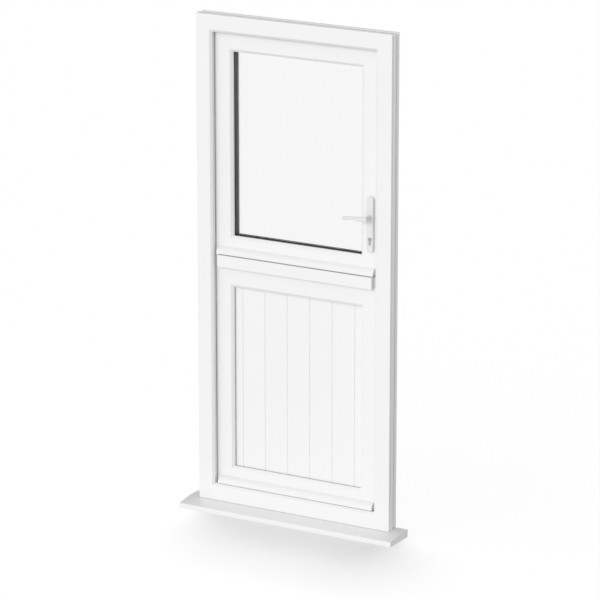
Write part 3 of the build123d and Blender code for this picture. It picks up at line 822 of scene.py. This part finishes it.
class STABLE_DOOR_OT_seals(bpy.types.Operator):
    """Make the seals behind the frame's lip, on the leaves' flanges, between the leaves and over the cill"""

    bl_idname = "stable_door.seals"
    bl_label = "Seals"

    def execute(self, context):
        low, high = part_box("frame_weather_seal")
        radius = high.y - low.y
        section = round_section(radius, radius, low.y, 1)
        mesh = strip_mesh("frame_lip_seal", rectangle_path(low, high), section, True)
        seal = add_piece("frame_lip_seal", mesh, rubber(), "frame")
        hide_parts("frame_weather_seal")
        self.flange_seals()
        self.meeting_seal()
        self.cill_sealant()
        return {"FINISHED"}

    def flange_seals(self):
        """A seal along the three lapped edges of each leaf, on the face towards the frame."""
        radius = fixings().seal_radius
        inset = 2 * radius
        flange_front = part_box("frame_head")[1].y + FLANGE_GAP
        section = round_section(radius, inset, flange_front, -1)
        for leaf in LEAVES:
            low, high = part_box(f"{leaf}_lock_stile")
            edge = high.x
            if leaf == "upper":
                lapped, meeting, to_meeting = high.z, low.z + inset, -UP
            else:
                lapped, meeting, to_meeting = low.z, high.z - inset, UP
            path = (
                (Vector((-edge, 0.0, meeting)), LOCKWARDS),
                (Vector((-edge, 0.0, lapped)), LOCKWARDS + to_meeting),
                (Vector((edge, 0.0, lapped)), HINGEWARDS + to_meeting),
                (Vector((edge, 0.0, meeting)), HINGEWARDS),
            )
            mesh = strip_mesh(f"{leaf}_flange_seal", path, section, False)
            add_piece(f"{leaf}_flange_seal", mesh, rubber(), f"{leaf}_leaf")

    def meeting_seal(self):
        """A seal along the top of the lower leaf, under the upper leaf."""
        low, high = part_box("lower_meeting_rail")
        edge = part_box("lower_meeting_cover")[1].x
        middle = (low.y + high.y) / 2
        lying = round_section(fixings().meeting_seal_radius, middle, 0.0, 1)
        section = [(rise, side) for side, rise in lying]
        path = ((Vector((-edge, 0.0, high.z)), UP), (Vector((edge, 0.0, high.z)), UP))
        mesh = strip_mesh("meeting_seal", path, section, False)
        add_piece("meeting_seal", mesh, rubber(), "lower_leaf")

    def cill_sealant(self):
        """A bead that fills the rounded corner between the frame's foot and the cill; its dark grey is
        partly painted shade, standing in for the shade in that joint.
        """
        low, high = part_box("frame_threshold")
        section = (
            (0.0, SEALANT_SETBACK),
            (0.0, EDGE_ROUND),
            (EDGE_ROUND, EDGE_ROUND),
            (EDGE_ROUND, SEALANT_SETBACK),
        )
        path = ((Vector((low.x, 0.0, low.z)), UP), (Vector((high.x, 0.0, low.z)), UP))
        mesh = strip_mesh("cill_sealant", path, section, False)
        # Painted shade: the bead's dark grey finish stands in for the shade in the joint under the frame.
        add_piece("cill_sealant", mesh, grey_sealant(), "frame")


class STABLE_DOOR_OT_handles(bpy.types.Operator):
    """Finish the handles and the lock cylinder with smooth round faces"""

    bl_idname = "stable_door.handles"
    bl_label = "Handles"

    def execute(self, context):
        for place in ("outside", "inside"):
            smooth_stand_in(f"{place}_lever", powder_coat(), fixings().rim_round)
            smooth_stand_in(f"{place}_backplate", powder_coat(), fixings().rim_round)
        smooth_stand_in("lock_cylinder", satin_nickel())
        paint("handle_spindle", lock_steel())
        return {"FINISHED"}


class STABLE_DOOR_OT_hinges(bpy.types.Operator):
    """Finish the hinges with smooth knuckles, and cap the knuckles"""

    bl_idname = "stable_door.hinges"
    bl_label = "Hinges"

    def execute(self, context):
        tree = cap_tree()
        for leaf in LEAVES:
            smooth_stand_in(f"{leaf}_hinge_pins", powder_coat())
            smooth_stand_in(f"{leaf}_hinge_flags", powder_coat())
            self.cap_knuckles(leaf, tree)
        return {"FINISHED"}

    def cap_knuckles(self, leaf, tree):
        """Caps over the flags' knuckles and under the pins' knuckles."""
        x, y, _ = JOINTS[f"{leaf}_leaf_hinge"]["pos_m"]
        tops = [(Vector((x, y, foot + KNUCKLE_HEIGHT)), UP) for foot in hinge_feet(leaf)]
        feet = [(Vector((x, y, foot - KNUCKLE_GAP - KNUCKLE_HEIGHT)), -UP) for foot in hinge_feet(leaf)]
        values = {
            "Cap Radius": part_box(f"{leaf}_hinge_flags")[1].y - y,
            "Cap Height": fixings().cap_height,
            "Finish": powder_coat(),
        }
        set_on_points(f"{leaf}_flag_caps", tops, tree, values, f"{leaf}_leaf")
        set_on_points(f"{leaf}_pin_caps", feet, tree, values, "frame")


class STABLE_DOOR_OT_lock_edge(bpy.types.Operator):
    """Finish the faceplates and keeps, and add the hooks in their slots"""

    bl_idname = "stable_door.lock_edge"
    bl_label = "Lock edge"

    def execute(self, context):
        paint("lock_keeps", lock_steel())
        for leaf in LEAVES:
            paint(f"{leaf}_lock_faceplate", lock_steel())
            self.add_hooks(leaf)
        return {"FINISHED"}

    def add_hooks(self, leaf):
        """The noses of a leaf's hooks, drawn back in their slots."""
        low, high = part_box(f"{leaf}_lock_faceplate")
        sizes = fixings()
        start, end = high.x - HOOK_SLOT_DEPTH, high.x - sizes.hook_setback
        middle = (low.y + high.y) / 2
        half = Vector((0.0, sizes.hook_width, sizes.hook_length)) / 2
        blocks = []
        for height in hook_heights(leaf):
            blocks.append((Vector((start, middle, height)) - half, Vector((end, middle, height)) + half))
        mesh = block_mesh(f"{leaf}_hooks", blocks, sizes.hook_width * HOOK_ROUND_SHARE)
        add_piece(f"{leaf}_hooks", mesh, lock_steel(), f"{leaf}_leaf")


class STABLE_DOOR_OT_screws(bpy.types.Operator):
    """Set screws in the keeps, faceplates, hinges and the inside backplate, one piece for each body"""

    bl_idname = "stable_door.screws"
    bl_label = "Screws"

    # Places on the plates, and on a hinge flag pairs of an inset from its end and a share of its height
    end_inset = 0.015
    second_inset = 0.150
    keep_spread = 0.040
    plate_spread = 0.030
    plate_inset = 0.009
    backplate_inset = 0.012
    flag_insets = ((0.012, 0.25), (0.012, 0.75), (0.032, 0.5))

    def execute(self, context):
        tree = screw_tree()
        sizes = fixings()
        values = {
            "Head Radius": sizes.screw_radius,
            "Head Height": sizes.screw_height,
            "Cross Width": sizes.cross_width,
            "Spin Seed": sizes.spin_seed,
            "Finish": lock_steel(),
        }
        on_frame = []
        on_leaf = {leaf: self.on_faceplate(leaf) + self.on_flags(leaf) for leaf in LEAVES}
        on_leaf["upper"] += self.on_inside_backplate()
        for leaf in LEAVES:
            on_frame += self.on_keeps(leaf) + self.on_pin_plates(leaf)
            set_on_points(f"{leaf}_leaf_screws", on_leaf[leaf], tree, values, f"{leaf}_leaf")
        set_on_points("frame_screws", on_frame, tree, values, "frame")
        return {"FINISHED"}

    def on_faceplate(self, leaf):
        """Near the ends of a faceplate, past its hooks and at its middle."""
        low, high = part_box(f"{leaf}_lock_faceplate")
        heights = [(low.z + high.z) / 2]
        for inset in (self.end_inset, self.second_inset):
            heights += [low.z + inset, high.z - inset]
        return [(Vector((high.x, (low.y + high.y) / 2, height)), LOCKWARDS) for height in heights]

    def on_flags(self, leaf):
        """Three in each hinge flag."""
        low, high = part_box(f"{leaf}_hinge_flags")
        places = []
        for foot in hinge_feet(leaf):
            for inset, share in self.flag_insets:
                spot = Vector((high.x - inset, low.y + HINGE_PLATE, foot + share * KNUCKLE_HEIGHT))
                places.append((spot, INWARDS))
        return places

    def on_pin_plates(self, leaf):
        """Three in each hinge plate on the jamb."""
        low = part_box(f"{leaf}_hinge_pins")[0]
        places = []
        for foot in hinge_feet(leaf):
            for rise in (-self.plate_spread, 0.0, self.plate_spread):
                spot = Vector((low.x + self.plate_inset, low.y + HINGE_PLATE, foot + rise))
                places.append((spot, INWARDS))
        return places

    def on_keeps(self, leaf):
        """Two in each keep, over and under its slot."""
        low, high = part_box("lock_keeps")
        places = []
        for height in hook_heights(leaf):
            for rise in (-self.keep_spread, self.keep_spread):
                spot = Vector((low.x, (low.y + high.y) / 2, height + rise))
                places.append((spot, HINGEWARDS))
        return places

    def on_inside_backplate(self):
        """One at each end of the plate inside."""
        low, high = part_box("inside_backplate")
        heights = (low.z + self.backplate_inset, high.z - self.backplate_inset)
        return [(Vector(((low.x + high.x) / 2, high.y, height)), INWARDS) for height in heights]


class STABLE_DOOR_OT_stage(bpy.types.Operator):
    """Set the camera, the pale floor, the soft lights and the white surroundings"""

    bl_idname = "stable_door.stage"
    bl_label = "Studio"

    def execute(self, context):
        scene = context.scene
        scene.view_settings.view_transform = "Standard"
        self.set_camera(scene)
        self.set_surroundings(scene)
        floor = self.lay_floor(scene)
        all_but_floor = bpy.data.collections.new("lit_without_floor")
        all_but_floor.objects.link(floor)
        all_but_floor.collection_objects[0].light_linking.link_state = "EXCLUDE"
        only_floor = bpy.data.collections.new("lit_floor")
        only_floor.objects.link(floor)
        values = studio()
        for name, lit in (("key", all_but_floor), ("back", all_but_floor), ("floor", only_floor)):
            direction, strength, softness = [
                getattr(values, f"{name}_{part}") for part in ("direction", "strength", "softness")
            ]
            self.hang_light(scene, f"{name}_light", direction, strength, softness, lit)
        return {"FINISHED"}

    def set_camera(self, scene):
        """Stand the camera where the door was seen from."""
        values = studio()
        flat = math.cos(values.elevation)
        back = Vector((
            math.sin(values.azimuth) * flat,
            -math.cos(values.azimuth) * flat,
            math.sin(values.elevation),
        ))
        data = bpy.data.cameras.new("camera")
        data.sensor_width = SENSOR_WIDTH
        data.lens = values.lens
        data.clip_end = SIGHT_REACH
        camera = bpy.data.objects.new("camera", data)
        camera.location = Vector(values.target) + back * values.distance
        camera.rotation_mode = "QUATERNION"
        camera.rotation_quaternion = (-back).to_track_quat("-Z", "Y")
        scene.collection.objects.link(camera)
        scene.camera = camera

    def set_surroundings(self, scene):
        """White to look at, and brighter in front of the door, on the left, than behind it."""
        values = studio()
        world = bpy.data.worlds.new("soft_white_room")
        world.use_nodes = True
        tree = world.node_tree
        tree.nodes.clear()
        direction = tree.nodes.new("ShaderNodeTexCoord")
        away = tree.nodes.new("ShaderNodeVectorMath")
        away.operation = "DOT_PRODUCT"
        away.inputs[1].default_value = -Vector(values.room_direction).normalized()
        fall = tree.nodes.new("ShaderNodeMapRange")
        fall.inputs["From Min"].default_value = -1.0
        shades = tree.nodes.new("ShaderNodeValToRGB")
        stops = shades.color_ramp.elements
        stops.new(position=0.5)
        for stop, grey in zip(stops, (values.room_front, values.room_sides, values.room_back)):
            stop.color = (grey, grey, grey, 1.0)
        light = tree.nodes.new("ShaderNodeBackground")
        seen = tree.nodes.new("ShaderNodeBackground")
        seen.inputs["Color"].default_value = WHITE
        path = tree.nodes.new("ShaderNodeLightPath")
        mix = tree.nodes.new("ShaderNodeMixShader")
        output = tree.nodes.new("ShaderNodeOutputWorld")
        tree.links.new(direction.outputs["Generated"], away.inputs[0])
        tree.links.new(away.outputs["Value"], fall.inputs["Value"])
        tree.links.new(fall.outputs["Result"], shades.inputs["Fac"])
        tree.links.new(shades.outputs["Color"], light.inputs["Color"])
        tree.links.new(path.outputs["Is Camera Ray"], mix.inputs["Fac"])
        tree.links.new(light.outputs["Background"], mix.inputs[1])
        tree.links.new(seen.outputs["Background"], mix.inputs[2])
        tree.links.new(mix.outputs["Shader"], output.inputs["Surface"])
        scene.world = world

    def lay_floor(self, scene):
        """A wide pale floor under the cill."""
        quarters = ((-1, -1), (1, -1), (1, 1), (-1, 1))
        corners = [(x * FLOOR_REACH, y * FLOOR_REACH, 0.0) for x, y in quarters]
        mesh = bpy.data.meshes.new("floor")
        mesh.from_pydata(corners, [], [range(len(corners))])
        floor = bpy.data.objects.new("floor", mesh)
        floor.visible_diffuse = False
        floor.visible_glossy = False
        scene.collection.objects.link(floor)
        finish, tree, shader = new_finish("pale_floor")
        drift_roughness(tree, shader, grain(tree, scale=3.0), low=0.8, high=0.9)
        shader.inputs["Base Color"].default_value = (*studio().floor_colour, 1.0)
        shader.inputs["Specular IOR Level"].default_value = 0.0
        shader.inputs["Emission Color"].default_value = WHITE
        shader.inputs["Emission Strength"].default_value = studio().floor_glow
        mesh.materials.append(finish)
        return floor

    def hang_light(self, scene, name, direction, strength, softness, lit):
        """A broad, even light from one direction, which lights one group of objects."""
        data = bpy.data.lights.new(name, "SUN")
        data.energy = strength
        data.angle = softness
        light = bpy.data.objects.new(name, data)
        light.location = Vector(direction) * LIGHT_DISTANCE
        light.rotation_mode = "QUATERNION"
        light.rotation_quaternion = (-Vector(direction)).to_track_quat("-Z", "Y")
        light.light_linking.receiver_collection = lit
        scene.collection.objects.link(light)


class STABLE_DOOR_PT_panel(bpy.types.Panel):
    """Lists the steps of the dressing in the sidebar"""

    bl_idname = "STABLE_DOOR_PT_panel"
    bl_label = "Stable Door"
    bl_space_type = "VIEW_3D"
    bl_region_type = "UI"
    bl_category = "Stable Door"

    def draw(self, context):
        column = self.layout.column(align=True)
        for step in STEPS:
            column.operator(step.bl_idname)
        for group in (finishes(), fixings(), studio()):
            box = self.layout.box()
            for name in group.bl_rna.properties.keys():
                if name not in ("rna_type", "name"):
                    box.prop(group, name)


STEPS = (
    STABLE_DOOR_OT_plastic,
    STABLE_DOOR_OT_glazing,
    STABLE_DOOR_OT_seals,
    STABLE_DOOR_OT_handles,
    STABLE_DOOR_OT_hinges,
    STABLE_DOOR_OT_lock_edge,
    STABLE_DOOR_OT_screws,
    STABLE_DOOR_OT_stage,
)
CLASSES = (DoorFinishes, DoorFixings, DoorStudio, *STEPS, STABLE_DOOR_PT_panel)


def register():
    """Make the classes and the scene's settings known."""
    for item in CLASSES:
        bpy.utils.register_class(item)
    bpy.types.Scene.stable_door_finishes = PointerProperty(type=DoorFinishes)
    bpy.types.Scene.stable_door_fixings = PointerProperty(type=DoorFixings)
    bpy.types.Scene.stable_door_studio = PointerProperty(type=DoorStudio)


def unregister():
    """Take the settings and the classes away again."""
    del bpy.types.Scene.stable_door_finishes
    del bpy.types.Scene.stable_door_fixings
    del bpy.types.Scene.stable_door_studio
    for item in reversed(CLASSES):
        bpy.utils.unregister_class(item)


def main():
    """Dress the door and set the studio."""
    register()
    bpy.ops.stable_door.plastic()
    bpy.ops.stable_door.glazing()
    bpy.ops.stable_door.seals()
    bpy.ops.stable_door.handles()
    bpy.ops.stable_door.hinges()
    bpy.ops.stable_door.lock_edge()
    bpy.ops.stable_door.screws()
    bpy.ops.stable_door.stage()


if __name__ == "__main__":
    main()
